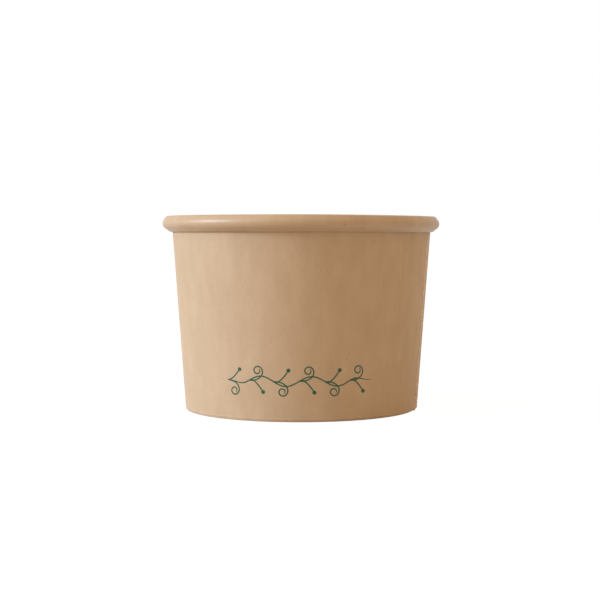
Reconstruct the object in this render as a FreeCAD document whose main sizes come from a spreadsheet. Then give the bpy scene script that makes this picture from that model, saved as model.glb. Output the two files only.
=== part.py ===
"""Paper ice cream tub, 90 mm across its rim.

Two pieces of board. The side wall is one fan-shaped blank: it laps over itself at the side seam,
its top edge is rolled outwards into the rim, and its bottom edge is folded up inside as the hem.
The base is a round disc with a turned-down skirt, held between the wall and the hem.
All sections are drawn in the XZ plane, with X as the distance from the tub's axis.
The tub stands on the table at Z = 0, its front faces -Y, and its axis is Z.
"""
import FreeCAD, Part
import math
import os

import Sketcher

# Driving dimensions in millimetres and degrees
SIZES = [
    ("rim_diameter", 90.0, "across the widest part of the rolled rim"),
    ("base_diameter", 75.0, "outside of the wall, carried down to the table"),
    ("tub_height", 62.7, "table to the top of the rim"),
    ("board", 0.4, "thickness of the side wall's board"),
    ("rim_overhang", 3.35, "how far the rim stands out from the wall below it"),
    ("rim_upper", 2.45, "top of the rim down to its widest level"),
    ("rim_lower", 2.75, "widest level down to the lowest level of the rim"),
    ("rim_shoulder", 35.0, "slope of the rim's shoulder, in degrees from upright"),
    ("mouth_bend", 0.5, "inside radius of the bend from wall to rim top"),
    ("lip_bend", 0.2, "inside radius of the bend from rim top to shoulder"),
    ("roll_bend", 1.5, "inside radius of the rim's outer bend"),
    ("tuck_bend", 0.1, "inside radius of the bend that tucks the rim in against the wall"),
    ("curl_gap", 0.05, "between the tucked board and the wall"),
    ("curl_tail", 1.6, "straight run of the tucked board up beside the wall"),
    ("curl_bend", 0.4, "inside radius of the last bend inside the rim"),
    ("curl_turn", 70.0, "turn of that last bend, in degrees"),
    ("curl_tip", 0.4, "straight run after the last bend"),
    ("fold_bend", 0.05, "inside radius of the two bends of the hem's fold"),
    ("hem_gap", 1.0, "hem's cut edge down from the underside of the base"),
    ("seam_angle", 77.0, "seam's cut edge round from the front, in degrees"),
    ("lap_turn", 12.0, "width of the lap at the seam, in degrees round the axis"),
    ("lap_ramp", 1.5, "length over which the lap runs out at its covered edge"),
    ("base_board", 0.4, "thickness of the base's board"),
    ("base_recess", 6.6, "underside of the base above the table"),
    ("base_bend", 0.4, "inside radius of the bend from base to skirt"),
    ("skirt_gap", 0.3, "skirt's cut edge up from the inside of the fold"),
    ("seal_gap", 0.05, "sealing film between the skirt and the board on each side"),
]

# Derived sizes, written in the sheet's names
RIM_RADIUS = "(sizes.rim_diameter / 2)"
FOOT_RADIUS = "(sizes.base_diameter / 2)"
NECK_RADIUS = f"({RIM_RADIUS} - sizes.rim_overhang)"
WIDEST_LEVEL = "(sizes.tub_height - sizes.rim_upper)"
NECK_LEVEL = f"({WIDEST_LEVEL} - sizes.rim_lower)"
MOUTH_RADIUS = "(sizes.mouth_bend + sizes.board)"
LIP_RADIUS = "(sizes.lip_bend + sizes.board)"
ROLL_RADIUS = "(sizes.roll_bend + sizes.board)"
TUCK_RADIUS = "(sizes.tuck_bend + sizes.board)"
TUCK_LEVEL = f"({NECK_LEVEL} + {TUCK_RADIUS})"
CURL_RADIUS = "(sizes.curl_bend + sizes.board)"
HEM_SPACE = "(sizes.base_board + 2 * sizes.seal_gap)"
HEM_TOP = "(sizes.base_recess - sizes.hem_gap)"
SKIRT_RADIUS = "(sizes.base_bend + sizes.base_board)"
SKIRT_INSET = "(sizes.board + sizes.seal_gap)"
SKIRT_END = "(sizes.board + sizes.skirt_gap)"
BASE_TOP = "(sizes.base_recess + sizes.base_board)"
BURIED = "(sizes.board / 2)"
WALL_LEAN = f"atan(({NECK_RADIUS} - {FOOT_RADIUS}) / {NECK_LEVEL})"
SHOULDER_SLOPE = "sizes.rim_shoulder * 1 deg - 90 deg"
TIP_SLOPE = f"90 deg - {WALL_LEAN} - sizes.curl_turn * 1 deg"

AXIS = FreeCAD.Vector(0, 0, 1)
OUTWARDS = FreeCAD.Vector(1, 0, 0)
SECTION_PLANE = FreeCAD.Placement(FreeCAD.Vector(), FreeCAD.Rotation(OUTWARDS, 90))
START, END, CENTRE = range(1, 4)
HORIZONTAL_AXIS, UPRIGHT_AXIS = range(-1, -3, -1)
ORIGIN = (HORIZONTAL_AXIS, START)

doc = FreeCAD.newDocument("ice_cream_tub")
sheet = doc.addObject("Spreadsheet::Sheet", "sizes")
for row, (alias, number, note) in enumerate(SIZES, start=1):
    sheet.set(f"A{row}", alias)
    sheet.set(f"B{row}", str(number))
    sheet.set(f"C{row}", note)
    sheet.setAlias(f"B{row}", alias)
doc.recompute()


def size(expression):
    """Number that an expression in the sheet's names comes to."""
    return float(sheet.evalExpression(expression))


def heading(degrees):
    """Direction in a section, leaning outwards from upright by an angle."""
    lean = math.radians(degrees)
    return FreeCAD.Vector(math.sin(lean), math.cos(lean), 0)


def right_of(direction):
    """Direction a quarter turn clockwise."""
    return FreeCAD.Vector(direction.y, -direction.x, 0)


def meet(point, direction, other_point, other_direction):
    """Where two straight lines of a section cross."""
    side = right_of(other_direction)
    return point + direction * ((other_point - point).dot(side) / direction.dot(side))


def rounded_run(corners):
    """Straight runs through the corners, with a tangent arc of its own radius at each bend.

    Each piece comes with the numbers of the ends by which the run enters and leaves it.
    """
    pieces = []
    start = corners[0][0]
    for (corner, radius), (after, _) in zip(corners[1:-1], corners[2:]):
        arriving = (corner - start).normalize()
        leaving = (after - corner).normalize()
        cut_back = radius * math.tan(arriving.getAngle(leaving) / 2)
        first = corner - arriving * cut_back
        last = corner + leaving * cut_back
        left_turn = arriving.cross(leaving).z > 0
        centre = first + right_of(arriving) * (-radius if left_turn else radius)
        spokes = [first - centre, last - centre]
        entry, leave = START, END
        if not left_turn:
            spokes.reverse()
            entry, leave = END, START
        angles = [math.atan2(spoke.y, spoke.x) for spoke in spokes]
        pieces.append((Part.LineSegment(start, first), START, END))
        pieces.append((Part.ArcOfCircle(Part.Circle(centre, AXIS, radius), *angles), entry, leave))
        start = last
    pieces.append((Part.LineSegment(start, corners[-1][0]), START, END))
    return pieces


def new_section(name):
    """Empty sketch in the plane that holds the tub's axis."""
    sketch = doc.addObject("Sketcher::SketchObject", name)
    sketch.Placement = SECTION_PLANE
    return sketch


def add_run(sketch, corners, names):
    """Draw a rounded run as a chain of tangent pieces, and return its pieces by name."""
    pieces = rounded_run(corners)
    ids = sketch.addGeometry([shape for shape, _, _ in pieces], False)
    for index in range(len(pieces) - 1):
        joint = (ids[index], pieces[index][2], ids[index + 1], pieces[index + 1][1])
        sketch.addConstraint(Sketcher.Constraint("Tangent", *joint))
    return dict(zip(names, ids))


def dimension(sketch, name, kind, places, expression):
    """Add a named dimension between places of a sketch, bound to the sheet."""
    number = size(expression)
    if kind == "Angle":
        number = math.radians(number)
    index = sketch.addConstraint(Sketcher.Constraint(kind, *places, number))
    sketch.renameConstraint(index, name)
    sketch.setExpression(f"Constraints.{name}", expression)


def level(sketch, name, point, expression):
    """Height of a point of a section above the table."""
    dimension(sketch, name, "DistanceY", (*ORIGIN, *point), expression)


def reach(sketch, name, point, expression):
    """Distance of a point of a section from the tub's axis."""
    dimension(sketch, name, "DistanceX", (*ORIGIN, *point), expression)


# Outside of the wall: a straight line from its foot to the neck under the rim
foot = FreeCAD.Vector(size(FOOT_RADIUS), 0, 0)
neck = FreeCAD.Vector(size(NECK_RADIUS), size(NECK_LEVEL), 0)
up_wall = (neck - foot).normalize()
outward = right_of(up_wall)
inside = foot - outward * size("sizes.board")


def at_level(expression):
    """Point on the tub's axis at a level."""
    return FreeCAD.Vector(0, size(expression), 0)


def add_wall_line(sketch):
    """Guide line along the outside of the wall, from its foot to its neck."""
    guide = sketch.addGeometry(Part.LineSegment(foot, neck), True)
    sketch.addConstraint(Sketcher.Constraint("PointOnObject", guide, START, HORIZONTAL_AXIS))
    reach(sketch, "foot_radius", (guide, START), FOOT_RADIUS)
    reach(sketch, "neck_radius", (guide, END), NECK_RADIUS)
    level(sketch, "neck_level", (guide, END), NECK_LEVEL)
    return guide


def beside_wall(sketch, name, guide, run, expression):
    """Keep a straight run parallel to the wall, at a distance from its outside."""
    sketch.addConstraint(Sketcher.Constraint("Parallel", guide, run))
    dimension(sketch, name, "Distance", (run, START, guide), expression)


def fold_corners(depth):
    """Cut edge of the hem and the two bends of its fold, at a depth below the food side."""
    wall_line = inside + outward * size(depth)
    hem_line = inside - outward * size(f"{HEM_SPACE} + {depth}")
    floor = at_level(f"sizes.board - {depth}")
    bend = size(f"sizes.fold_bend + {depth}")
    return [
        (meet(hem_line, up_wall, at_level(hem_end(depth)), OUTWARDS), None),
        (meet(hem_line, up_wall, floor, OUTWARDS), bend),
        (meet(wall_line, up_wall, floor, OUTWARDS), bend),
    ]


def hem_end(depth):
    """Level of the hem's square-cut edge, at a depth below the food side."""
    return f"{HEM_TOP} + {depth} * sin({WALL_LEAN})"


def bind_fold(sketch, guide, run, depth):
    """Dimensions of the hem, its fold and the wall, at a depth below the food side."""
    beside_wall(sketch, "hem_inset", guide, run["hem"], f"sizes.board + {HEM_SPACE} + {depth}")
    beside_wall(sketch, "wall_inset", guide, run["wall"], f"sizes.board - {depth}")
    level(sketch, "hem_end", (run["hem"], START), hem_end(depth))
    level(sketch, "floor_level", (run["floor"], START), f"sizes.board - {depth}")
    sketch.addConstraint(Sketcher.Constraint("Horizontal", run["floor"]))
    for bend in ("hem_fold", "foot_fold"):
        dimension(sketch, bend, "Radius", (run[bend],), f"sizes.fold_bend + {depth}")


def rim_corners():
    """Bends of the rolled rim, from the mouth to the cut edge inside the roll."""
    roll_radius = size(ROLL_RADIUS)
    tuck_radius = size(TUCK_RADIUS)
    curl_radius = size(CURL_RADIUS)
    rim_top = at_level("sizes.tub_height")
    roll = FreeCAD.Vector(size(RIM_RADIUS) - roll_radius, size(WIDEST_LEVEL), 0)
    shoulder_way = heading(180 - size("sizes.rim_shoulder"))
    shoulder = roll - right_of(shoulder_way) * roll_radius

    # The underside is the common tangent of the roll and the tuck
    tuck_line = foot + outward * (size("sizes.curl_gap") + tuck_radius)
    tuck = meet(tuck_line, up_wall, at_level(TUCK_LEVEL), OUTWARDS)
    between = roll - tuck
    spread = math.acos((tuck_radius - roll_radius) / between.Length)
    slope = math.atan2(between.y, between.x) - spread
    below = FreeCAD.Vector(math.cos(slope), math.sin(slope), 0)
    underside = roll + below * roll_radius

    # The tail runs up beside the wall and bends outwards into the hollow of the roll
    tail = tuck - outward * tuck_radius
    cut_back = curl_radius * math.tan(math.radians(size("sizes.curl_turn")) / 2)
    curl = tail + up_wall * (size("sizes.curl_tail") + cut_back)
    tip_way = heading(size(f"{WALL_LEAN} + sizes.curl_turn * 1 deg"))
    return [
        (meet(inside, up_wall, rim_top, OUTWARDS), size(MOUTH_RADIUS)),
        (meet(rim_top, OUTWARDS, shoulder, shoulder_way), size(LIP_RADIUS)),
        (meet(shoulder, shoulder_way, underside, right_of(below)), roll_radius),
        (meet(underside, right_of(below), tail, up_wall), tuck_radius),
        (curl, curl_radius),
        (curl + tip_way * (cut_back + size("sizes.curl_tip")), None),
    ]


def bind_rim(sketch, guide, run):
    """Dimensions of the rolled rim."""
    radii = [MOUTH_RADIUS, LIP_RADIUS, ROLL_RADIUS, TUCK_RADIUS, CURL_RADIUS]
    for bend, radius in zip(("mouth", "lip", "roll", "tuck", "curl"), radii):
        dimension(sketch, f"{bend}_radius", "Radius", (run[bend],), radius)
    sketch.addConstraint(Sketcher.Constraint("Horizontal", run["top"]))
    level(sketch, "top_level", (run["top"], START), "sizes.tub_height")
    dimension(sketch, "shoulder_slope", "Angle", (run["shoulder"],), SHOULDER_SLOPE)
    level(sketch, "widest_level", (run["roll"], CENTRE), WIDEST_LEVEL)
    reach(sketch, "roll_centre", (run["roll"], CENTRE), f"{RIM_RADIUS} - {ROLL_RADIUS}")
    level(sketch, "tuck_level", (run["tuck"], CENTRE), TUCK_LEVEL)
    beside_wall(sketch, "curl_gap", guide, run["tail"], "sizes.curl_gap")
    dimension(sketch, "curl_tail", "Distance", (run["tail"],), "sizes.curl_tail")
    dimension(sketch, "tip_slope", "Angle", (run["tip"],), TIP_SLOPE)
    dimension(sketch, "curl_tip", "Distance", (run["tip"],), "sizes.curl_tip")


def board_section(name, path, thickness):
    """Section of a board: a path along one face, thickened on the path's right-hand side."""
    section = doc.addObject("Part::Offset2D", name)
    section.Source = path
    section.setExpression("Value", f"-{thickness}")
    section.Mode = "Skin"
    section.Join = "Arc"
    section.Fill = True
    return section


def turned(name, section, turn):
    """Solid made by turning a section about the tub's axis."""
    solid = doc.addObject("Part::Revolution", name)
    solid.Source = section
    solid.Axis = AXIS
    solid.setExpression("Angle", turn)
    solid.Solid = True
    return solid


def plan_triangle(name, plan_level, corners):
    """Triangle in plan at one level; each corner has a name, a radius and a turn from the seam."""
    sketch = doc.addObject("Sketcher::SketchObject", name)
    sketch.setExpression("Placement.Base.z", plan_level)
    points = []
    for _, radius, turn in corners:
        angle = math.radians(size(turn))
        points.append(FreeCAD.Vector(math.cos(angle), math.sin(angle), 0) * size(radius))
    points.append(points[0])
    sides = [Part.LineSegment(*ends) for ends in zip(points, points[1:])]
    ids = sketch.addGeometry(sides, False)
    for index, (corner, radius, turn) in enumerate(corners):
        joint = (ids[index - 1], END, ids[index], START)
        sketch.addConstraint(Sketcher.Constraint("Coincident", *joint))
        across = (*ORIGIN, ids[index], START)
        dimension(sketch, f"{corner}_x", "DistanceX", across, f"{radius} * cos({turn})")
        dimension(sketch, f"{corner}_y", "DistanceY", across, f"{radius} * sin({turn})")
    return sketch


def ramp_plan(name, plan_level):
    """Plan of what is cut from the lap at one level, so that its covered edge runs out in a ramp."""
    outside = f"({FOOT_RADIUS} + {plan_level} * tan({WALL_LEAN}))"
    ramp_turn = f"(sizes.lap_ramp / {outside} * 180 / pi)"
    corners = [
        ("below", f"({outside} - sizes.board)", f"(sizes.lap_turn + {ramp_turn})"),
        ("above", f"({outside} + 3 * sizes.board)", f"(sizes.lap_turn - 2 * {ramp_turn})"),
        ("beyond", f"({outside} + 3 * sizes.lap_ramp)", f"(sizes.lap_turn + {ramp_turn})"),
    ]
    return plan_triangle(name, plan_level, corners)


# Side wall: the whole section of the blank, from the hem's cut edge to the edge inside the rim
FOLD_RUNS = ["hem", "hem_fold", "floor", "foot_fold", "wall"]
RIM_RUNS = ["mouth", "top", "lip", "shoulder", "roll", "underside", "tuck", "tail", "curl", "tip"]

wall_path = new_section("wall_path")
wall_runs = add_run(wall_path, fold_corners("0") + rim_corners(), FOLD_RUNS + RIM_RUNS)
wall_guide = add_wall_line(wall_path)
bind_fold(wall_path, wall_guide, wall_runs, "0")
bind_rim(wall_path, wall_guide, wall_runs)
single_wall = turned("single_wall", board_section("wall_section", wall_path, "sizes.board"), "360")

# Lap: the board lies double at the seam, from the hem's cut edge up into the tuck of the rim
lap_path = new_section("lap_path")
lap_end = meet(inside + outward * size(BURIED), up_wall, at_level(TUCK_LEVEL), OUTWARDS)
lap_runs = add_run(lap_path, fold_corners(BURIED) + [(lap_end, None)], FOLD_RUNS)
lap_guide = add_wall_line(lap_path)
bind_fold(lap_path, lap_guide, lap_runs, BURIED)
level(lap_path, "lap_end", (lap_runs["wall"], END), TUCK_LEVEL)
lap_section = board_section("lap_section", lap_path, f"(2 * sizes.board - {BURIED})")
full_lap = turned("full_lap", lap_section, "sizes.lap_turn")

# The lap is pressed flat under the fold, and its covered edge runs out in a ramp up the wall
ramp = doc.addObject("Part::Loft", "ramp")
ramp.Sections = [
    ramp_plan("ramp_low", "(-2 * sizes.board)"),
    ramp_plan("ramp_high", f"({TUCK_LEVEL} + sizes.board)"),
]
ramp.Solid = True
ramp.Ruled = True

table = doc.addObject("Part::Box", "table")
table.setExpression("Length", "sizes.rim_diameter")
table.setExpression("Width", "sizes.rim_diameter")
table.setExpression("Height", "2 * sizes.board")
table.setExpression("Placement.Base.y", "-sizes.rim_diameter / 2")
table.setExpression("Placement.Base.z", "-2 * sizes.board")

trimmings = doc.addObject("Part::MultiFuse", "trimmings")
trimmings.Shapes = [ramp, table]
lap = doc.addObject("Part::Cut", "lap")
lap.Base = full_lap
lap.Tool = trimmings
lap.Placement.Rotation.Axis = AXIS
lap.setExpression("Placement.Rotation.Angle", "sizes.seam_angle * 1 deg - 90 deg")

sidewall = doc.addObject("Part::MultiFuse", "sidewall")
sidewall.Label = "sidewall"
sidewall.Shapes = [single_wall, lap]
sidewall.Refine = True

# Base: a flat disc whose skirt runs down inside the wall, held by the hem
base_path = new_section("base_path")
base_guide = add_wall_line(base_path)
skirt_line = foot - outward * size(SKIRT_INSET)
base_corners = [
    (at_level(BASE_TOP), None),
    (meet(skirt_line, up_wall, at_level(BASE_TOP), OUTWARDS), size(SKIRT_RADIUS)),
    (meet(skirt_line, up_wall, at_level(SKIRT_END), OUTWARDS), None),
]
base_runs = add_run(base_path, base_corners, ["disc", "rim_bend", "skirt"])
base_path.addConstraint(Sketcher.Constraint("PointOnObject", base_runs["disc"], START, UPRIGHT_AXIS))
base_path.addConstraint(Sketcher.Constraint("Horizontal", base_runs["disc"]))
level(base_path, "base_top", (base_runs["disc"], START), BASE_TOP)
dimension(base_path, "skirt_radius", "Radius", (base_runs["rim_bend"],), SKIRT_RADIUS)
beside_wall(base_path, "skirt_inset", base_guide, base_runs["skirt"], SKIRT_INSET)
level(base_path, "skirt_end", (base_runs["skirt"], END), SKIRT_END)
base_section = board_section("base_section", base_path, "sizes.base_board")
base_disc = turned("base_disc", base_section, "360")
base_disc.Label = "base_disc"

doc.recompute()
for item in doc.Objects:
    if "Invalid" in item.State or "Error" in item.State:
        raise RuntimeError(f"{item.Label} did not compute: {item.State}")
for piece in (sidewall, base_disc):
    if piece.Shape.isNull() or not piece.Shape.isValid() or len(piece.Shape.Solids) != 1:
        raise RuntimeError(f"{piece.Label} is not one valid solid")

os.makedirs("parts", exist_ok=True)
for piece in (sidewall, base_disc):
    piece.Shape.exportStep(f"parts/{piece.Label}.step")
    print(piece.Label, round(piece.Shape.Volume, 2), "cubic mm")
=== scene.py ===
import math
from collections import namedtuple

import bpy
import numpy as np
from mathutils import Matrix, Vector


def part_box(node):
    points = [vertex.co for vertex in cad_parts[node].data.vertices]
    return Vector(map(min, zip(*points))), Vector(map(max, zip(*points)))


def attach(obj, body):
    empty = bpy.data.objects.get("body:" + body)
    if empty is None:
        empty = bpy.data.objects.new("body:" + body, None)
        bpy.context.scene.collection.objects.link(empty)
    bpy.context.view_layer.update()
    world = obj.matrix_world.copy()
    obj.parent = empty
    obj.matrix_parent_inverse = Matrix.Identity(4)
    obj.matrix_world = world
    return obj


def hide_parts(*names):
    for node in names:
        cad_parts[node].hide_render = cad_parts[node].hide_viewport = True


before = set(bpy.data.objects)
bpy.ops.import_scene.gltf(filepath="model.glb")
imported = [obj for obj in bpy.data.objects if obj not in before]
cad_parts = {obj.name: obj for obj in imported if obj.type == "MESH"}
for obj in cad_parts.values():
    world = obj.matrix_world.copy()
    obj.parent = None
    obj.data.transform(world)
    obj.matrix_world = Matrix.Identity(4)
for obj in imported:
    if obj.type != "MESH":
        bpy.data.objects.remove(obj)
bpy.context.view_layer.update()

bl_info = {
    "name": "Paper Ice Cream Tub",
    "version": (1, 0, 0),
    "blender": (4, 5, 0),
    "location": "3D View > Sidebar > Paper Tub",
    "description": "Kraft board tub with a rolled rim, a lapped seam, a folded hem and a printed sprig",
    "category": "Object",
}

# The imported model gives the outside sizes. Lengths are in metres, and MM turns millimetres into them.
# Turns round the tub are in degrees from its front, to the right as the camera sees it.
MM = 0.001
WALL_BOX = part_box("sidewall")
BASE_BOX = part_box("base_disc")
TUB_HEIGHT = WALL_BOX[1].z
RIM_RADIUS = WALL_BOX[1].x
BASE_TOP = BASE_BOX[1].z
SKIRT_END = BASE_BOX[0].z
CENTRE = Vector((0, 0, TUB_HEIGHT / 2))
LEVEL = np.array([1.0, 0.0])


def length(name, description, millimetres):
    """Length that a user can change, with its default in millimetres."""
    return bpy.props.FloatProperty(
        name=name, description=description, default=millimetres * MM, min=0, unit="LENGTH"
    )


def angle(name, description, degrees):
    """Angle that a user can change, with its default in degrees."""
    return bpy.props.FloatProperty(
        name=name, description=description, default=math.radians(degrees), subtype="ANGLE"
    )


def to_linear(hex_colour):
    """Linear red, green and blue of an sRGB colour written as RRGGBB."""
    channels = [int(hex_colour[place:place + 2], 16) / 255 for place in (0, 2, 4)]
    return [c / 12.92 if c <= 0.04045 else ((c + 0.055) / 1.055) ** 2.4 for c in channels]


def colour(name, description, hex_colour):
    """Colour that a user can change, with its default as an sRGB hex value."""
    return bpy.props.FloatVectorProperty(
        name=name, description=description, default=to_linear(hex_colour), min=0, max=1,
        subtype="COLOR",
    )


class TubSizes(bpy.types.PropertyGroup):
    """Sizes of the board, the rolled rim, the hem and the seam."""

    board: length("Wall board", "Thickness of the side wall's board", 0.4)
    foot_radius: length("Foot radius", "Outside of the wall, carried down to the table", 37.5)
    neck_radius: length("Neck radius", "Outside of the wall just under the rim", 41.65)
    widest_level: length("Widest level", "Height of the rim's widest level", 60.25)
    neck_level: length("Neck level", "Lowest level of the rim", 57.5)
    mouth_bend: length("Mouth bend", "Bend from the wall to the rim's flat top", 0.9)
    lip_bend: length("Lip bend", "Bend from the flat top to the shoulder", 1.4)
    roll_bend: length("Roll bend", "Outer bend of the rolled rim", 2.0)
    tuck_bend: length("Tuck bend", "Bend that tucks the rim in against the wall", 0.5)
    curl_bend: length("Curl bend", "Last bend, inside the rim", 0.8)
    curl_gap: length("Curl gap", "Between the tucked board and the wall", 0.05)
    curl_tail: length("Curl tail", "Straight run of the tucked board beside the wall", 1.6)
    curl_tip: length("Curl tip", "Straight run after the last bend", 0.4)
    shoulder_slope: angle("Shoulder slope", "Slope of the rim's shoulder from upright", 35)
    curl_turn: angle("Curl turn", "Turn of the last bend inside the rim", 70)
    fold_bend: length("Fold bend", "Inside radius of the hem's two bends", 0.05)
    hem_space: length("Hem space", "Between the wall and the hem, for the base's skirt", 0.5)
    hem_end: length("Hem end", "Height of the hem's cut edge", 5.6)
    foot_crease: length("Foot crease", "How far the crease above the fold stands out", 0.06)
    press_depth: length("Press depth", "Depth of the presses that pinch the hem", 0.08)
    seam: angle("Seam", "Seam's cut edge, round from the front", 77)
    lap: angle("Lap", "Width of the double board at the seam", 12)
    lap_ramp: length("Lap ramp", "Length over which the lap's covered edge runs out", 1.5)
    lap_swell: length("Lap swell", "How far the lap swells the rim", 0.05)
    base_board: length("Base board", "Thickness of the base's board", 0.4)
    base_bend: length("Base bend", "Outside radius of the bend from base to skirt", 0.8)
    seal_gap: length("Seal gap", "Sealing film on each side of the skirt", 0.05)


class TubColours(bpy.types.PropertyGroup):
    """Colours of the board, its cut edges and the ink."""

    kraft_dark: colour("Kraft, dark fibres", "Darker fibres and clouds in the board", "AF8F6A")
    kraft_light: colour("Kraft, light fibres", "Lighter fibres in the board", "C4A47E")
    shive: colour("Shive", "Dark specks of bark in the board", "5E4127")
    # The cut edge's colour is partly the paler pulp and partly painted highlight, so the shaded seam
    # edge shows light
    core: colour("Cut edge", "Paler inside of the board, where it is cut", "F4E6CC")
    ink: colour("Ink", "Printed ink", "0B4A2A")


# A corner of a board's section: its bend, and how finely the run that leads to it and then its bend
# are cut, on the food side and on the printed side
Corner = namedtuple("Corner", "name at bend food_cuts print_cuts")

# One side of a board's section: points, directions square to the side, distances along the path,
# and where along it each named bend starts and ends
Side = namedtuple("Side", "points squares along starts ends")


def out_from(way):
    """Direction a quarter turn clockwise from another, in a section."""
    return np.array([way[1], -way[0]])


def unit(vector):
    """Direction of a vector, with a length of one."""
    return vector / np.linalg.norm(vector)


def lean(turn):
    """Direction in a section, leaning outwards from upright by an angle."""
    return np.array([math.sin(turn), math.cos(turn)])


def turned(vector, turn):
    """Vector of a section, turned anticlockwise."""
    cosine, sine = math.cos(turn), math.sin(turn)
    return np.array([cosine * vector[0] - sine * vector[1], sine * vector[0] + cosine * vector[1]])


def meet(point, way, other_point, other_way):
    """Where two straight lines of a section cross."""
    side = out_from(other_way)
    return point + way * (np.dot(other_point - point, side) / np.dot(way, side))


def at_level(height):
    """Point of a section on the tub's axis."""
    return np.array([0.0, height])


def run_side(corners, cuts_name):
    """Cut the straight runs and tangent bends through a list of corners into stations."""
    points, ways, starts, ends = [], [], {}, {}
    start = corners[0].at
    for corner, after in zip(corners[1:], corners[2:] + [None]):
        run_cuts, bend_cuts = getattr(corner, cuts_name)
        arriving = unit(corner.at - start)
        leaving = unit(after.at - corner.at) if after else arriving
        turn = math.atan2(np.dot(leaving, -out_from(arriving)), np.dot(leaving, arriving))
        cut_back = corner.bend * math.tan(abs(turn) / 2)
        first = corner.at - arriving * cut_back
        for cut in range(run_cuts):
            points.append(start + (first - start) * cut / run_cuts)
            ways.append(arriving)
        starts[corner.name] = len(points)
        spoke = out_from(arriving) * math.copysign(corner.bend, turn)
        for cut in range(bend_cuts):
            points.append(first - spoke + turned(spoke, turn * cut / bend_cuts))
            ways.append(turned(arriving, turn * cut / bend_cuts))
        ends[corner.name] = len(points)
        start = corner.at + leaving * cut_back
    points.append(corners[-1].at)
    ways.append(ways[-1])
    points = np.array(points)
    steps = np.linalg.norm(np.diff(points, axis=0), axis=1)
    along = np.concatenate([[0.0], np.cumsum(steps)])
    starts = {name: along[index] for name, index in starts.items()}
    ends = {name: along[index] for name, index in ends.items()}
    return Side(points, np.array([out_from(way) for way in ways]), along, starts, ends)


def wall_lines(sizes):
    """Foot of the wall's outside, and the directions up it and out of it."""
    foot = np.array([sizes.foot_radius, 0.0])
    up = unit(np.array([sizes.neck_radius, sizes.neck_level]) - foot)
    return foot, up, out_from(up)


def wall_corners(sizes):
    """Food side of the wall's blank, from the hem's cut edge to the edge inside the rolled rim."""
    foot, up, out = wall_lines(sizes)
    food = foot - out * sizes.board
    hem = food - out * sizes.hem_space
    floor = at_level(sizes.board)
    rim_top = at_level(TUB_HEIGHT)
    roll = np.array([RIM_RADIUS - sizes.roll_bend, sizes.widest_level])
    shoulder_way = lean(math.pi - sizes.shoulder_slope)
    shoulder = roll - out_from(shoulder_way) * sizes.roll_bend

    # The underside is the common tangent of the roll and the tuck
    tuck_line = foot + out * (sizes.curl_gap + sizes.tuck_bend)
    tuck = meet(tuck_line, up, at_level(sizes.neck_level + sizes.tuck_bend), LEVEL)
    between = roll - tuck
    spread = math.acos((sizes.tuck_bend - sizes.roll_bend) / np.linalg.norm(between))
    below = turned(unit(between), -spread)
    underside = roll + below * sizes.roll_bend
    underside_way = out_from(below)

    # The tail runs up beside the wall and bends outwards into the hollow of the roll
    tail = tuck - out * sizes.tuck_bend
    cut_back = sizes.curl_bend * math.tan(sizes.curl_turn / 2)
    curl = tail + up * (sizes.curl_tail + cut_back)
    tip_way = turned(up, -sizes.curl_turn)
    return [
        Corner("hem", meet(hem, up, at_level(sizes.hem_end), LEVEL), 0, None, None),
        Corner("hem_fold", meet(hem, up, floor, LEVEL), sizes.fold_bend, (3, 3), (8, 5)),
        Corner("foot_fold", meet(food, up, floor, LEVEL), sizes.fold_bend, (1, 3), (1, 6)),
        Corner("crease", meet(food, up, at_level(CREASE_TOP), LEVEL), 0, (1, 1), (7, 1)),
        Corner("shade", meet(food, up, at_level(SHADE_LEVEL), LEVEL), 0, (9, 1), (16, 1)),
        Corner("mouth", meet(food, up, rim_top, LEVEL), sizes.mouth_bend, (4, 8), (4, 4)),
        Corner("lip", meet(rim_top, LEVEL, shoulder, shoulder_way), sizes.lip_bend, (2, 5), (1, 2)),
        Corner("roll", meet(shoulder, shoulder_way, underside, underside_way), sizes.roll_bend,
               (4, 20), (2, 8)),
        Corner("tuck", meet(underside, underside_way, tail, up), sizes.tuck_bend, (4, 6), (2, 4)),
        Corner("curl", curl, sizes.curl_bend, (3, 4), (2, 3)),
        Corner("tip", curl + tip_way * (cut_back + sizes.curl_tip), 0, (1, 0), (1, 0)),
    ]


# Below the first of these levels on the wall, and above the second, its stations lie closer together
CREASE_TOP = 1.3 * MM
SHADE_LEVEL = 56 * MM

# Degrees between the rings of the wall's mesh. At a square-cut edge a steep slope stands for the cut:
# degrees from the edge to each end of the slope, to the next ring, and to the first of the even rings.
RING_STEP = 0.62
CUT_SLOPE = 0.03
EDGE_RING = 0.3
EDGE_SPACE = 0.45

# Where the seam's edge drifts round the rim as it rolls over: place along the roll, and degrees.
# Away from the lap, the drift dies out over its reach, also in degrees.
SEAM_DRIFT = [(0, 11), (0.21, 2.5), (0.48, -3), (0.72, -4.5), (1, -2)]
DRIFT_AT_MOUTH = 3
DRIFT_AT_LIP = 8
DRIFT_REACH = 64

# The wall's lower edge turns in below the crease, most of all on the right
TURN_IN_LEVEL = 0.9 * MM
TURN_IN = 0.08 * MM
TURN_IN_MORE = 0.22 * MM
TURN_IN_SIDE = 70

# How far the lap stands in inside the tub, the dip beyond its cut edge there and on the rim, and
# the degrees over which the swell comes up and the dip runs out
INNER_SWELL = 0.03 * MM
INNER_DIP = 0.16 * MM
RIM_DIP = 0.06 * MM
SWELL_WIDTH = 1
DIP_WIDTH = 2.6

# Inside the tub the lap's swell comes in over the first of these lengths above the base. Outside it
# the lap lies double up to the second length above the shade level, and runs out behind the rim.
LAP_FADE_IN = 2 * MM
LAP_COVERED = 3 * MM

# Width of the crease above the fold
CREASE_WIDTH = 0.2 * MM

# Presses round the hem, where the machine pinches it on to the skirt, and how far they fade at each end
PRESSES = 84
PRESS_EASE = 0.8 * MM

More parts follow.
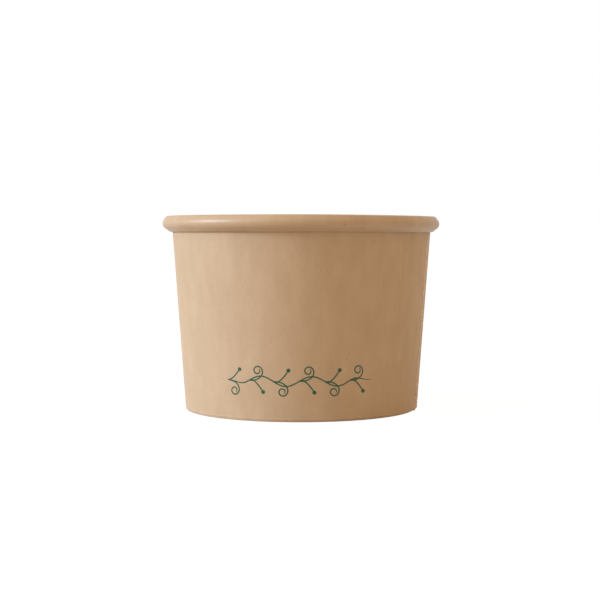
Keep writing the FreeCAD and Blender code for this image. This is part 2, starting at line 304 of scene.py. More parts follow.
# Slow waves of the rolled rim: waves round the tub, their height, and the seed of their places
RIM_WAVES = (4, 7, 11, 19, 31)
RIM_WAVE_HEIGHT = 0.012 * MM
RIM_WAVE_SEED = 5

# How much lower the rim lies at the right of the tub than on its left half
RIM_DROP = 0.22 * MM

# Wrinkles pressed into the rolled rim, in degrees and millimetres: turn, level, length, slant, height
Wrinkle = namedtuple("Wrinkle", "turn level length slant height")
WRINKLES = [
    Wrinkle(-44, 59.7, 2.2, 70, 0.045),
    Wrinkle(-39, 59.9, 1.8, 62, -0.035),
    Wrinkle(-20, 61.9, 2.4, 40, 0.05),
    Wrinkle(-17.5, 61.7, 2.0, 46, -0.04),
    Wrinkle(-3, 61.9, 2.0, 38, 0.045),
    Wrinkle(1, 61.8, 2.2, 42, 0.05),
    Wrinkle(4.5, 61.9, 1.8, 35, -0.04),
    Wrinkle(8.5, 61.8, 2.2, 45, 0.05),
    Wrinkle(12, 62.0, 1.6, 38, -0.035),
    Wrinkle(52, 60.1, 2.4, 66, 0.03),
    Wrinkle(118, 61.2, 2.2, 50, 0.045),
    Wrinkle(151, 61.8, 2.0, 40, -0.04),
    Wrinkle(171, 60.4, 2.4, 60, 0.04),
    Wrinkle(214, 61.8, 2.2, 42, 0.045),
    Wrinkle(243, 60.0, 2.0, 64, -0.04),
    Wrinkle(277, 61.9, 1.8, 38, 0.05),
]
WRINKLE_WIDTH = 0.45 * MM

# Height that no wrinkle stands above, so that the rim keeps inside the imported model's box
WRINKLE_LIMIT = 0.04 * MM


def smooth(share):
    """Ease from 0 to 1, flat at both ends."""
    share = np.clip(share, 0, 1)
    return share * share * (3 - 2 * share)


def wrapped(turn):
    """Turn in degrees, between -180 and 180."""
    return (turn + 180) % 360 - 180


def ring_turns(lap):
    """Turns of the rings from the seam's cut edge, closer together at both edges of the lap."""
    edges = [0, lap]
    near = [edge + step for edge in edges for step in (-EDGE_RING, -CUT_SLOPE, CUT_SLOPE, EDGE_RING)]
    count = round(360 / RING_STEP)
    even = [360 * ring / count for ring in range(count)]
    apart = [turn for turn in even if all(abs(wrapped(turn - edge)) > EDGE_SPACE for edge in edges)]
    return np.array(sorted(turn % 360 for turn in apart + near))


def lap_share(turns, lap, ramp):
    """1 where the board lies double, and a ramp down to 0 beyond the lap's covered edge."""
    return np.where(turns <= lap, 1, 1 - smooth((turns - lap) / ramp))


def food_swell(turns, lap, swell, dip):
    """Height of the food side at the seam: a soft swell, a cut edge, and a dip that runs out."""
    risen = smooth(wrapped(turns) / SWELL_WIDTH + 0.5) * (wrapped(turns) <= lap)
    sunk = (turns > lap) * (1 - smooth((turns - lap) / DIP_WIDTH))
    return swell * risen - dip * sunk


def seam_drift(side):
    """Degrees by which the seam's edge has drifted at each station of the rim."""
    roll_start, roll_end = side.starts["roll"], side.ends["roll"]
    places = [side.starts["mouth"], side.ends["mouth"], side.ends["lip"]]
    drifts = [0, DRIFT_AT_MOUTH, DRIFT_AT_LIP]
    for share, drift in SEAM_DRIFT:
        places.append(roll_start + (roll_end - roll_start) * share)
        drifts.append(drift)
    return np.interp(side.along, places + [side.starts["tuck"]], drifts + [0])


def wrinkle_height(side, turns):
    """Height of the wrinkles over the stations and turns of the rim."""
    height = np.zeros(turns.shape)
    on_roll = (side.along > side.ends["lip"]) & (side.along < side.starts["tuck"])
    for wrinkle in WRINKLES:
        nearest = np.argmin(np.where(on_roll, np.abs(side.points[:, 1] - wrinkle.level * MM), np.inf))
        across = np.radians(wrapped(turns - wrinkle.turn)) * side.points[nearest, 0]
        down = side.along - side.along[nearest]
        slant = math.radians(wrinkle.slant)
        run = across * math.cos(slant) - down * math.sin(slant)
        off = across * math.sin(slant) + down * math.cos(slant)
        reach = (run / (wrinkle.length * MM / 2)) ** 2 + (off / WRINKLE_WIDTH) ** 2
        height += wrinkle.height * MM * np.exp(-reach)
    return height


def wall_food_side(sizes, side, turns, around):
    """Food side of the wall: radius and height at each ring and station, and the drifted turns."""
    lap = math.degrees(sizes.lap)
    rim = np.interp(
        side.along,
        [side.starts["mouth"], side.ends["mouth"], side.ends["roll"], side.starts["tuck"]],
        [0, 1, 1, 0],
    )
    above_base = np.interp(side.points[:, 1], [BASE_TOP, BASE_TOP + LAP_FADE_IN], [0, 1])
    above_base[side.along > side.ends["roll"]] = 0
    centred = wrapped(turns)
    window = smooth((centred + DRIFT_REACH) / DRIFT_REACH) * smooth(1 - (centred - lap) / DRIFT_REACH)
    drifted = around[:, None] + window[:, None] * seam_drift(side)
    inner = food_swell(turns, lap, INNER_SWELL, INNER_DIP)[:, None] * above_base * (1 - rim)
    outer = food_swell(turns, lap, sizes.lap_swell, RIM_DIP)[:, None] * rim
    waves = np.zeros(drifted.shape)
    chance = np.random.RandomState(RIM_WAVE_SEED)
    for count in RIM_WAVES:
        waves += np.cos(np.radians(drifted * count) + chance.uniform(0, 2 * math.pi)) - 1
    roll = np.interp(side.along, [side.ends["mouth"], side.starts["roll"]], [0, 1]) * rim
    wrinkles = np.minimum(wrinkle_height(side, drifted), WRINKLE_LIMIT)
    height = inner + outer - sizes.lap_swell * rim + (RIM_WAVE_HEIGHT / 2 * waves + wrinkles) * roll
    return side.points - height[:, :, None] * side.squares, drifted


def wall_print_side(sizes, side, turns, around):
    """Printed side of the wall: radius and height at each ring and station, and its turns."""
    lap = math.degrees(sizes.lap)
    ramp = math.degrees(sizes.lap_ramp / sizes.foot_radius)
    doubled = np.interp(side.along, [side.ends["shade"] + LAP_COVERED, side.starts["mouth"]], [1, 0])
    thickness = sizes.board * (1 + lap_share(turns, lap, ramp)[:, None] * doubled)
    crease_place = (side.ends["foot_fold"] + side.starts["crease"]) / 2
    crease = np.exp(-(((side.along - crease_place) / CREASE_WIDTH) ** 2))
    thickness = thickness + sizes.foot_crease * crease
    hem = smooth(side.along / PRESS_EASE) * smooth((side.starts["hem_fold"] - side.along) / PRESS_EASE)
    presses = 0.5 - 0.5 * np.cos(np.radians(around * PRESSES))
    thickness = thickness - sizes.press_depth * presses[:, None] * hem
    section = side.points + thickness[:, :, None] * side.squares
    section[:, :, 1] = np.maximum(section[:, :, 1], 0)
    return section, np.repeat(around[:, None], len(side.along), axis=1)


def tucked(sizes, side, section, turns):
    """Move the tucked board out, and half as far up, over the lap, which lies double there."""
    _, up, out = wall_lines(sizes)
    lap = math.degrees(sizes.lap)
    ramp = math.degrees(sizes.lap_ramp / sizes.foot_radius)
    share = np.interp(side.along, [side.ends["roll"], side.starts["tuck"]], [0, 1])
    moved = lap_share(turns, lap, ramp)[:, None] * share * sizes.board
    return section + moved[:, :, None] * (out + up / 2)


def turned_in(section, around):
    """Turn the lowest edge of the wall and the fold of its hem in towards the axis."""
    below = smooth(1 - section[:, :, 1] / TURN_IN_LEVEL)
    side = np.cos(np.radians(around - TURN_IN_SIDE)).clip(0)
    section[:, :, 0] -= (TURN_IN + TURN_IN_MORE * side)[:, None] * below
    return section


def swung_round(section, around):
    """Points in space of radius and height pairs, each swung round the tub's axis by its turn."""
    swing = np.radians(around)
    radius, height = section[:, :, 0], section[:, :, 1]
    return np.stack([radius * np.sin(swing), -radius * np.cos(swing), height], axis=2)


def rim_dropped(points):
    """Lower the right of the rim, with the wall under it from half its height up."""
    high = smooth((points[:, :, 2] - SHADE_LEVEL / 2) / (SHADE_LEVEL / 2))
    points[:, :, 2] -= RIM_DROP * smooth(points[:, :, 0] / RIM_RADIUS) * high
    return points


# Edges of a piece stay sharp from this turn between their faces
SHARP_TURN = math.radians(38)


def new_piece(name, vertices, faces, materials, indices, body="root"):
    """Mesh object with smooth shading, whose square edges stay sharp, riding on a body."""
    mesh = bpy.data.meshes.new(name)
    mesh.from_pydata(vertices, [], faces)
    for material in materials:
        mesh.materials.append(material)
    mesh.polygons.foreach_set("material_index", indices)
    mesh.shade_smooth()
    mesh.set_sharp_from_angle(angle=SHARP_TURN)
    mesh.validate()
    piece = bpy.data.objects.new(name, mesh)
    bpy.context.scene.collection.objects.link(piece)
    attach(piece, body)
    return piece


def grid_faces(rings, stations, closed):
    """Four-sided faces between rings of stations, and the ring and station of each."""
    last = stations if closed else stations - 1
    ring, station = np.meshgrid(np.arange(rings), np.arange(last), indexing="ij")
    ring, station = ring.ravel(), station.ravel()
    after = (ring + 1) % rings
    beyond = (station + 1) % stations
    corners = [ring * stations + station, ring * stations + beyond]
    corners += [after * stations + beyond, after * stations + station]
    return np.stack(corners, axis=1), ring, station


def add_node(tree, kind, inputs, output=0, **settings):
    """Add a node with its settings; set or link its inputs, and give one of its outputs."""
    node = tree.nodes.new(kind)
    for name, value in settings.items():
        setattr(node, name, value)
    for name, value in inputs.items():
        if isinstance(value, bpy.types.NodeSocket):
            tree.links.new(value, node.inputs[name])
        else:
            node.inputs[name].default_value = value
    return node.outputs[output] if node.outputs else None


def new_material(name, surface_colour):
    """Empty node material, with its colour for the viewport, and its node tree."""
    material = bpy.data.materials.new(name)
    material.diffuse_color = (*surface_colour, 1)
    material.use_nodes = True
    material.node_tree.nodes.clear()
    return material, material.node_tree


# Unbleached kraft board: fibres that lie up the wall, broader clouds where the pulp is denser,
# and a few dark shives of bark. Real fibres are 0.03 mm wide; they are drawn wider, so that they show.
FIBRE_WIDTH = 0.2 * MM
FIBRE_LENGTH = 1.6 * MM
FIBRE_WEIGHT = 0.6
CLOUD_WIDTH = 5 * MM
CLOUD_LENGTH = 12 * MM
SHIVE_SPACING = 5 * MM
SHIVE_WIDTH = 0.14 * MM
SHIVE_CHANCE = 0.45
SHIVE_STRENGTH = 0.8

# A larger shive on the front of the rim: its turn, its level and radius in millimetres, and its width
SPECK_PLACE = (17.2, 59.45, 44.75)
SPECK_WIDTH = 0.36 * MM


def shives(tree, place):
    """1 in a shive of bark, and 0 beside it: in scattered ones, and in the speck on the rim."""
    cells = tree.nodes.new("ShaderNodeTexVoronoi")
    tree.links.new(place, cells.inputs["Vector"])
    cells.inputs["Scale"].default_value = 1 / SHIVE_SPACING
    near = add_node(tree, "ShaderNodeMath", {
        0: cells.outputs["Distance"], 1: SHIVE_WIDTH / SHIVE_SPACING}, operation="LESS_THAN")
    kept = add_node(tree, "ShaderNodeMath", {0: cells.outputs["Color"], 1: 1 - SHIVE_CHANCE},
                    operation="GREATER_THAN")
    scattered = add_node(tree, "ShaderNodeMath", {0: near, 1: kept}, operation="MULTIPLY")
    turn, level, radius = SPECK_PLACE
    swing = math.radians(turn)
    speck = (radius * MM * math.sin(swing), -radius * MM * math.cos(swing), level * MM)
    off = add_node(tree, "ShaderNodeVectorMath", {0: place, 1: speck}, "Value", operation="DISTANCE")
    mark = add_node(tree, "ShaderNodeMath", {0: off, 1: SPECK_WIDTH / 2}, operation="LESS_THAN")
    return add_node(tree, "ShaderNodeMath", {0: scattered, 1: mark}, operation="MAXIMUM")


def kraft_pattern(tree, colours):
    """Colour and height of unbleached kraft board, as two outputs."""
    place = add_node(tree, "ShaderNodeTexCoord", {}, "Object")
    fine = add_node(tree, "ShaderNodeMapping", {
        "Vector": place, "Scale": (1 / FIBRE_WIDTH, 1 / FIBRE_WIDTH, 1 / FIBRE_LENGTH)})
    fibres = add_node(tree, "ShaderNodeTexNoise", {
        "Vector": fine, "Scale": 1, "Detail": 2, "Roughness": 0.6})
    broad = add_node(tree, "ShaderNodeMapping", {
        "Vector": place, "Scale": (1 / CLOUD_WIDTH, 1 / CLOUD_WIDTH, 1 / CLOUD_LENGTH)})
    clouds = add_node(tree, "ShaderNodeTexNoise", {
        "Vector": broad, "Scale": 1, "Detail": 3, "Roughness": 0.55})
    both = add_node(tree, "ShaderNodeMath", {0: fibres, 1: FIBRE_WEIGHT, 2: clouds},
                    operation="MULTIPLY_ADD")
    share = add_node(tree, "ShaderNodeMapRange", {
        "Value": both, "From Min": 0.3, "From Max": 1.3})
    board = add_node(tree, "ShaderNodeMix", {
        0: share, 6: (*colours.kraft_dark, 1), 7: (*colours.kraft_light, 1)}, 2, data_type="RGBA")
    bark = add_node(tree, "ShaderNodeMath", {0: shives(tree, place), 1: SHIVE_STRENGTH},
                    operation="MULTIPLY")
    tint = add_node(tree, "ShaderNodeMix", {
        0: bark, 6: board, 7: (*colours.shive, 1)}, 2, data_type="RGBA")
    return tint, fibres


def uncoated_kraft(colours):
    """Printed side: uncoated, calendered kraft board. It is matt, with a soft bloom from its fibres."""
    material, tree = new_material("uncoated_kraft_board", colours.kraft_light)
    tint, fibres = kraft_pattern(tree, colours)
    relief = add_node(tree, "ShaderNodeBump", {
        "Strength": 0.35, "Distance": 0.02 * MM, "Height": fibres})
    surface = add_node(tree, "ShaderNodeBsdfPrincipled", {
        "Base Color": tint, "Roughness": 0.72, "IOR": 1.5, "Sheen Weight": 0.12,
        "Sheen Roughness": 0.45, "Normal": relief})
    add_node(tree, "ShaderNodeOutputMaterial", {"Surface": surface})
    return material


def coated_kraft(colours):
    """Food side: kraft board under a thin polyethylene film, which deepens it and adds a satin gloss."""
    material, tree = new_material("coated_kraft_board", colours.kraft_light)
    tint, fibres = kraft_pattern(tree, colours)
    deep = add_node(tree, "ShaderNodeGamma", {"Color": tint, "Gamma": 1.08})
    relief = add_node(tree, "ShaderNodeBump", {
        "Strength": 0.3, "Distance": 0.02 * MM, "Height": fibres})
    surface = add_node(tree, "ShaderNodeBsdfPrincipled", {
        "Base Color": deep, "Roughness": 0.44, "IOR": 1.51, "Normal": relief})
    add_node(tree, "ShaderNodeOutputMaterial", {"Surface": surface})
    return material


def cut_board(colours):
    """Cut edge: the board's open, paler pulp, dry and without gloss, painted paler still as a highlight.
    """
    material, tree = new_material("cut_board_edge", colours.core)
    place = add_node(tree, "ShaderNodeTexCoord", {}, "Object")
    layers = add_node(tree, "ShaderNodeTexNoise", {
        "Vector": place, "Scale": 1 / (0.4 * MM), "Detail": 2})
    pale = add_node(tree, "ShaderNodeMapRange", {"Value": layers, "From Min": 0.2, "From Max": 0.6})
    # The mix leans to the pale colour, which is painted lighter than the pulp as a highlight on the cut
    # edges
    tint = add_node(tree, "ShaderNodeMix", {
        0: pale, 6: (*colours.kraft_light, 1), 7: (*colours.core, 1)}, 2, data_type="RGBA")
    relief = add_node(tree, "ShaderNodeBump", {
        "Strength": 0.4, "Distance": 0.03 * MM, "Height": layers})
    surface = add_node(tree, "ShaderNodeBsdfPrincipled", {
        "Base Color": tint, "Roughness": 0.85, "IOR": 1.5, "Normal": relief})
    add_node(tree, "ShaderNodeOutputMaterial", {"Surface": surface})
    return material


def flexo_ink(colours):
    """Water-based ink printed by a rubber plate: thin and matt, a little lighter over raised fibres."""
    material, tree = new_material("green_printing_ink", colours.ink)
    place = add_node(tree, "ShaderNodeTexCoord", {}, "Object")
    lay = add_node(tree, "ShaderNodeTexNoise", {"Vector": place, "Scale": 1 / (0.5 * MM), "Detail": 3})
    thin = add_node(tree, "ShaderNodeMapRange", {
        "Value": lay, "From Min": 0.45, "From Max": 0.8, "To Max": 0.12})
    tint = add_node(tree, "ShaderNodeMix", {
        0: thin, 6: (*colours.ink, 1), 7: (*colours.kraft_dark, 1)}, 2, data_type="RGBA")
    surface = add_node(tree, "ShaderNodeBsdfPrincipled", {
        "Base Color": tint, "Roughness": 0.62, "IOR": 1.48})
    add_node(tree, "ShaderNodeOutputMaterial", {"Surface": surface})
    return material


def board_materials(colours):
    """Materials of a board: its food side, its printed side and its cut edges."""
    makers = {"coated_kraft_board": coated_kraft, "uncoated_kraft_board": uncoated_kraft,
              "cut_board_edge": cut_board}
    return [bpy.data.materials.get(name) or make(colours) for name, make in makers.items()]


FOOD_SIDE, PRINTED_SIDE, CUT_EDGE = range(3)


def wall_kinds(sizes, turns, food_count, levels, ring, station):
    """Material of each face of the wall: its food side, its printed side or a cut edge."""
    kinds = np.where(station < food_count - 1, FOOD_SIDE, PRINTED_SIDE)
    kinds[(station == food_count - 1) | (station == len(levels) - 1)] = CUT_EDGE

    # The seam's edge outside the tub, and the lap's covered edge inside it, above the base
    below_rim = levels[station] < sizes.neck_level + sizes.board
    kinds[(ring == len(turns) - 1) & (kinds == PRINTED_SIDE) & below_rim] = CUT_EDGE
    lap = math.degrees(sizes.lap)
    inner_edge = (turns[ring] > lap - 2 * CUT_SLOPE) & (turns[ring] < lap)
    above_base = levels[station] > BASE_TOP + MM
    kinds[inner_edge & (kinds == FOOD_SIDE) & above_base] = CUT_EDGE
    return kinds


class TUB_OT_side_wall(bpy.types.Operator):
    """Form the side wall: one lapped blank, with its rim rolled outwards and its hem folded up inside"""

    bl_idname = "tub.side_wall"
    bl_label = "Form Side Wall"

    def execute(self, context):
        sizes = context.scene.tub_sizes
        corners = wall_corners(sizes)
        food = run_side(corners, "food_cuts")
        printed = run_side(corners, "print_cuts")
        turns = ring_turns(math.degrees(sizes.lap))
        around = turns + math.degrees(sizes.seam)

        inside, inside_turns = wall_food_side(sizes, food, turns, around)
        outside, outside_turns = wall_print_side(sizes, printed, turns, around)
        inside = turned_in(tucked(sizes, food, inside, turns), around)
        outside = turned_in(tucked(sizes, printed, outside, turns), around)
        loop = [swung_round(inside, inside_turns), swung_round(outside, outside_turns)[:, ::-1]]
        points = rim_dropped(np.concatenate(loop, axis=1))
        faces, ring, station = grid_faces(*points.shape[:2], closed=True)
        kinds = wall_kinds(sizes, turns, len(food.along), points[0, :, 2], ring, station)

        materials = board_materials(context.scene.tub_colours)
        piece = new_piece("formed_side_wall", points.reshape(-1, 3), faces, materials, kinds)
        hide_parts("sidewall")
        return {"FINISHED"}


# Pleats where the base's flat disc is drawn down into its skirt
PLEATS = 90
PLEAT_DEPTH = 0.05 * MM

# Rings of the base's mesh, the hub that they leave in its middle, and how far the base sags
BASE_RINGS = 360
BASE_HUB = 1.5 * MM
BASE_SAG = 0.25 * MM


class TUB_OT_base_disc(bpy.types.Operator):
    """Form the base: a flat disc of board, drawn down into a skirt that the wall and its hem hold"""

    bl_idname = "tub.base_disc"
    bl_label = "Form Base Disc"

    def execute(self, context):
        sizes = context.scene.tub_sizes
        foot, up, out = wall_lines(sizes)
        skirt = foot - out * (sizes.board + sizes.seal_gap)
        top = at_level(BASE_TOP)
        corners = [
            Corner("hub", top + LEVEL * BASE_HUB, 0, None, None),
            Corner("bend", meet(skirt, up, top, LEVEL), sizes.base_bend, (16, 8), (16, 6)),
            Corner("skirt", meet(skirt, up, at_level(SKIRT_END), LEVEL), 0, (3, 0), (3, 0)),
        ]
        food = run_side(corners, "food_cuts")
        below = run_side(corners, "print_cuts")
        around = np.arange(BASE_RINGS) * 360 / BASE_RINGS

        pleated = smooth(1 - np.abs(food.along - food.ends["bend"]) / (2 * sizes.base_bend))
        depth = PLEAT_DEPTH * (0.5 - 0.5 * np.cos(np.radians(around * PLEATS)))[:, None] * pleated
        upper = food.points + depth[:, :, None] * food.squares
        lower = below.points + sizes.base_board * below.squares
        lower = np.repeat(lower[None], BASE_RINGS, axis=0)
        section = np.concatenate([upper, lower[:, ::-1]], axis=1)

        # The flat of the base sags a little towards its middle
        flat_radius = food.points[:, 0].max() - 2 * sizes.base_bend
        section[:, :, 1] -= BASE_SAG * smooth(1 - section[:, :, 0] / flat_radius)
        rings, stations, _ = section.shape
        points = swung_round(section, np.repeat(around[:, None], stations, axis=1))
        faces, _, station = grid_faces(rings, stations, closed=False)
        vertices, faces = list(points.reshape(-1, 3)), list(faces)
        kinds = np.where(station < len(food.along), FOOD_SIDE, PRINTED_SIDE)
        kinds[station == len(food.along) - 1] = CUT_EDGE
        kinds = list(kinds)

        # A fan closes the hub on each side
        for place, kind, flip in ((0, FOOD_SIDE, False), (stations - 1, PRINTED_SIDE, True)):
            vertices.append((0, 0, points[0, place, 2]))
            for ring in range(rings):
                rim = [ring * stations + place, (ring + 1) % rings * stations + place]
                faces.append([len(vertices) - 1] + (rim if flip else rim[::-1]))
                kinds.append(kind)

        materials = board_materials(context.scene.tub_colours)
        piece = new_piece("drawn_base_disc", vertices, faces, materials, kinds)
        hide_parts("base_disc")
        return {"FINISHED"}


# The sprig is drawn on the wall laid flat, by the distance to the right of its middle and the height
# above it. The stem's sway dies away over a share of its length at each end.
SPRIG_TURN = -0.9
SPRIG_LEVEL = 12.5 * MM
SPRIG_LENGTH = 47 * MM
SPRIG_WAVES = 3
SPRIG_WAVE = SPRIG_LENGTH / SPRIG_WAVES
SPRIG_SWAY = 1.5 * MM
STEM_CALM = 0.2
LINE_WIDTH = 0.42 * MM
INK_HEIGHT = 0.012 * MM

# Share of its full width that a stroke has at its start and its end, and how fast it widens
STEM_ENDS = (0.3, 0.3)
SHOOT_ENDS = (0.6, 0.5)
TAPER = 5

# A stalk leaves the stem at a share of a wave before each crest or trough, bows, and ends at a share
# beyond it, on its hollow side. A tendril leaves the stem a little before the stalk.
STALK_ROOT = 0.2
STALK_TIP = 0.05
STALK_BOW = 1.6
BERRY_RADIUS = 0.62 * MM
BERRY_REACH = 3.35 * MM
TENDRIL_ROOT = 0.25
TENDRIL_LENGTH = 13.5 * MM
TENDRIL_TURN = math.radians(480)
TENDRIL_LEAVE = 0.01

# Points along each stroke, and the turn that a berry's outline leaves open at each end
STEM_POINTS = 140
STALK_POINTS = 16
TENDRIL_POINTS = 40
BERRY_POINTS = 13
BERRY_OPEN = 0.06


def on_wall(sizes, across, up_wall, proud):
    """Point in space of a point of the flat wall, standing proud of its outside."""
    foot, up, out = wall_lines(sizes)
    level = foot + up * up_wall
    radius, height = level + out * proud
    swing = math.radians(SPRIG_TURN) + across / level[0]
    return (radius * math.sin(swing), -radius * math.cos(swing), height)


def slab(vertices, faces, sizes, left, right):
    """Add a closed strip of ink between its left and right edges."""
    start = len(vertices)
    for pair in zip(left, right):
        for across, up_wall in pair:
            for proud in (INK_HEIGHT, -INK_HEIGHT):
                vertices.append(on_wall(sizes, across, SPRIG_LEVEL + up_wall, proud))
    for row in range(start, len(vertices) - 4, 4):
        faces.append((row, row + 2, row + 6, row + 4))
        faces.append((row + 1, row + 5, row + 7, row + 3))
        faces.append((row, row + 4, row + 5, row + 1))
        faces.append((row + 2, row + 3, row + 7, row + 6))
    faces.append((start, start + 1, start + 3, start + 2))
    end = len(vertices) - 4
    faces.append((end, end + 2, end + 3, end + 1))


def stroke(vertices, faces, sizes, line, ends):
    """Add a stroke of ink along a line: full in the middle and thinner at its ends."""
    place = np.linspace(0, 1, len(line))
    start, end = ends
    widths = LINE_WIDTH * np.minimum(1, np.minimum(start + TAPER * place, end + TAPER * (1 - place)))
    ways = np.gradient(line, axis=0)
    sides = np.stack([-ways[:, 1], ways[:, 0]], axis=1)
    sides = sides / np.linalg.norm(sides, axis=1)[:, None] * widths[:, None] / 2
    slab(vertices, faces, sizes, line + sides, line - sides)


def berry(vertices, faces, sizes, middle):
    """Add a round berry of ink."""
    turns = np.linspace(BERRY_OPEN, math.pi - BERRY_OPEN, BERRY_POINTS)
    rise = np.stack([-np.cos(turns), np.sin(turns)], axis=1) * BERRY_RADIUS
    fall = rise * (1, -1)
    slab(vertices, faces, sizes, middle + rise, middle + fall)


def stem(across):
    """Height of the stem, whose sway dies away towards both ends."""
    calm = smooth((0.5 - np.abs(across) / SPRIG_LENGTH) / STEM_CALM)
    return SPRIG_SWAY * np.sin(2 * math.pi * across / SPRIG_WAVE) * calm


def stalk(crest, side):
    """Line of a stalk that leaves the stem before a crest or trough and ends on its hollow side."""
    share = np.linspace(0, 1, STALK_POINTS)
    root = crest - SPRIG_WAVE * STALK_ROOT
    across = root + (crest + SPRIG_WAVE * STALK_TIP - root) * share
    height = stem(root) + (side * BERRY_REACH - stem(root)) * share ** STALK_BOW
    return np.stack([across, height], axis=1)


def tendril(crest, side):
    """Line of a tendril that leaves the stem and winds up tighter and tighter on the other side."""
    share = np.linspace(0, 1, TENDRIL_POINTS)
    way = -side * TENDRIL_TURN * (TENDRIL_LEAVE + share ** 2)
    leap = TENDRIL_LENGTH / (TENDRIL_POINTS - 1)
    root = crest - SPRIG_WAVE * TENDRIL_ROOT
    across = root + np.cumsum(np.cos(way)) * leap
    height = stem(root) + np.cumsum(np.sin(way)) * leap
    return np.stack([across, height], axis=1)


class TUB_OT_printed_sprig(bpy.types.Operator):
    """Print a waving sprig with round berries and curled tendrils, low on the front of the wall"""

    bl_idname = "tub.printed_sprig"
    bl_label = "Print Sprig"

    def execute(self, context):
        sizes = context.scene.tub_sizes
        vertices, faces = [], []
        across = np.linspace(-SPRIG_LENGTH / 2, SPRIG_LENGTH / 2, STEM_POINTS)
        stroke(vertices, faces, sizes, np.stack([across, stem(across)], axis=1), STEM_ENDS)
        for half in range(2 * SPRIG_WAVES):
            crest = (half + 0.5 - SPRIG_WAVES) * SPRIG_WAVE / 2
            side = -round(math.sin(2 * math.pi * crest / SPRIG_WAVE))
            line = stalk(crest, side)
            stroke(vertices, faces, sizes, line, SHOOT_ENDS)
            berry(vertices, faces, sizes, line[-1])
            stroke(vertices, faces, sizes, tendril(crest, side), SHOOT_ENDS)

        ink = bpy.data.materials.get("green_printing_ink") or flexo_ink(context.scene.tub_colours)
        piece = new_piece("printed_sprig", vertices, faces, [ink], [0] * len(faces))
        return {"FINISHED"}


# Camera fitted to the photograph: it looks along +Y and a little down, from just under the rolled rim
CAMERA_PLACE = (-0.26 * MM, -460 * MM, 56.6 * MM)
CAMERA_PITCH = 2.656
CAMERA_LENS = 84.5
SENSOR_WIDTH = 36

# Cool light from a low window on the left, with a little from higher up, in a warmly lit white room
Lamp = namedtuple("Lamp", "name turn height spread strength")
LAMPS = [
    Lamp("window", -80, 20, 26, 4.1),
    Lamp("skylight", -55, 60, 60, 0.6),
]
LAMP_COLOUR = "C6DFFF"
ROOM_LOW = 0.68
ROOM_HIGH = 0.82
ROOM_COLOUR = "FFE0B8"

# To the camera and in gloss the floor is mostly a white glow, and for the rest its own lit colour. The
# two add up to white, with a faint shadow beside the tub. All other light comes from the lit colour.
FLOOR_SIZE = 6
FLOOR_COLOUR = "D6D6D6"
FLOOR_GLOW = 0.93
FLOOR_WHITE = 1.05


def seen_directly(tree):
    """1 for what the camera sees itself or in gloss or glass, and 0 for the soft light on the tub."""
    path = tree.nodes.new("ShaderNodeLightPath").outputs
    seen = add_node(tree, "ShaderNodeMath", {
        0: path["Is Camera Ray"], 1: path["Is Glossy Ray"]}, operation="MAXIMUM")
    return add_node(tree, "ShaderNodeMath", {
        0: seen, 1: path["Is Transmission Ray"]}, operation="MAXIMUM")


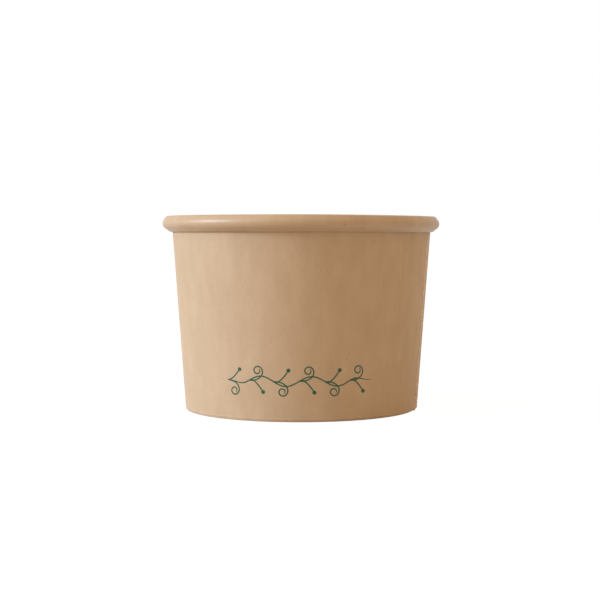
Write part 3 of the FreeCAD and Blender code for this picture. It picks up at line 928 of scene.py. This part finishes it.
class TUB_OT_stage(bpy.types.Operator):
    """Set the stage: white floor, a low window on the left, a bright room all round, and the camera"""

    bl_idname = "tub.stage"
    bl_label = "Set Stage"

    def execute(self, context):
        scene = context.scene
        self.lay_floor(scene)
        for lamp in LAMPS:
            self.hang_lamp(scene, lamp)
        self.light_room(scene)
        camera = bpy.data.objects.new("camera", bpy.data.cameras.new("camera"))
        camera.data.lens = CAMERA_LENS
        camera.data.sensor_width = SENSOR_WIDTH
        camera.location = CAMERA_PLACE
        camera.rotation_euler = (math.radians(90 - CAMERA_PITCH), 0, 0)
        scene.collection.objects.link(camera)
        scene.camera = camera
        scene.view_settings.view_transform = "Standard"
        return {"FINISHED"}

    def lay_floor(self, scene):
        """White floor that keeps a faint shadow and runs into the white background."""
        half = FLOOR_SIZE / 2
        mesh = bpy.data.meshes.new("floor")
        mesh.from_pydata([(-half, -half, 0), (half, -half, 0), (half, half, 0), (-half, half, 0)], [],
                         [(0, 1, 2, 3)])
        material, tree = new_material("white_floor", to_linear(FLOOR_COLOUR))
        lit = add_node(tree, "ShaderNodeBsdfDiffuse", {"Color": (*to_linear(FLOOR_COLOUR), 1)})
        glow = add_node(tree, "ShaderNodeEmission", {"Strength": FLOOR_WHITE})
        share = add_node(tree, "ShaderNodeMath", {0: seen_directly(tree), 1: FLOOR_GLOW},
                         operation="MULTIPLY")
        surface = add_node(tree, "ShaderNodeMixShader", {0: share, 1: lit, 2: glow})
        add_node(tree, "ShaderNodeOutputMaterial", {"Surface": surface})
        mesh.materials.append(material)
        floor = bpy.data.objects.new("floor", mesh)
        scene.collection.objects.link(floor)

    def hang_lamp(self, scene, lamp):
        """Far, broad light at a turn round the tub and a height above the table."""
        light = bpy.data.lights.new(lamp.name, "SUN")
        light.angle = math.radians(lamp.spread)
        light.energy = lamp.strength
        light.color = to_linear(LAMP_COLOUR)
        source = bpy.data.objects.new(lamp.name, light)
        turn, rise = math.radians(lamp.turn), math.radians(lamp.height)
        level = math.cos(rise)
        away = Vector((math.sin(turn) * level, -math.cos(turn) * level, math.sin(rise)))
        source.location = CENTRE + away
        source.rotation_euler = away.to_track_quat("Z", "Y").to_euler()
        scene.collection.objects.link(source)

    def light_room(self, scene):
        """Light all round, a little brighter overhead than at the horizon, behind a white background."""
        world = bpy.data.worlds.new("room")
        world.use_nodes = True
        tree = world.node_tree
        tree.nodes.clear()
        way = add_node(tree, "ShaderNodeTexCoord", {}, "Generated")
        rise = add_node(tree, "ShaderNodeSeparateXYZ", {"Vector": way}, "Z")
        strength = add_node(tree, "ShaderNodeMapRange", {
            "Value": rise, "To Min": ROOM_LOW, "To Max": ROOM_HIGH})
        light = add_node(tree, "ShaderNodeBackground", {
            "Color": (*to_linear(ROOM_COLOUR), 1), "Strength": strength})
        white = add_node(tree, "ShaderNodeBackground", {"Color": (1, 1, 1, 1), "Strength": 1})
        surface = add_node(tree, "ShaderNodeMixShader", {0: seen_directly(tree), 1: light, 2: white})
        add_node(tree, "ShaderNodeOutputWorld", {"Surface": surface})
        scene.world = world


class TUB_PT_tub(bpy.types.Panel):
    """Steps that make the tub, and its sizes and colours"""

    bl_idname = "TUB_PT_tub"
    bl_label = "Paper Tub"
    bl_space_type = "VIEW_3D"
    bl_region_type = "UI"
    bl_category = "Paper Tub"

    def draw(self, context):
        for step in STEPS:
            self.layout.operator(step.bl_idname)
        for group in (context.scene.tub_sizes, context.scene.tub_colours):
            column = self.layout.column()
            for name in group.__annotations__:
                column.prop(group, name)


STEPS = (TUB_OT_side_wall, TUB_OT_base_disc, TUB_OT_printed_sprig, TUB_OT_stage)
CLASSES = (TubSizes, TubColours, *STEPS, TUB_PT_tub)


def register():
    """Add the tub's sizes, colours, steps and panel to Blender."""
    for kind in CLASSES:
        bpy.utils.register_class(kind)
    bpy.types.Scene.tub_sizes = bpy.props.PointerProperty(type=TubSizes)
    bpy.types.Scene.tub_colours = bpy.props.PointerProperty(type=TubColours)


def unregister():
    """Take them out again."""
    del bpy.types.Scene.tub_colours
    del bpy.types.Scene.tub_sizes
    for kind in reversed(CLASSES):
        bpy.utils.unregister_class(kind)


def main():
    """Make the tub step by step."""
    register()
    bpy.ops.tub.side_wall()
    bpy.ops.tub.base_disc()
    bpy.ops.tub.printed_sprig()
    bpy.ops.tub.stage()


if __name__ == "__main__":
    main()
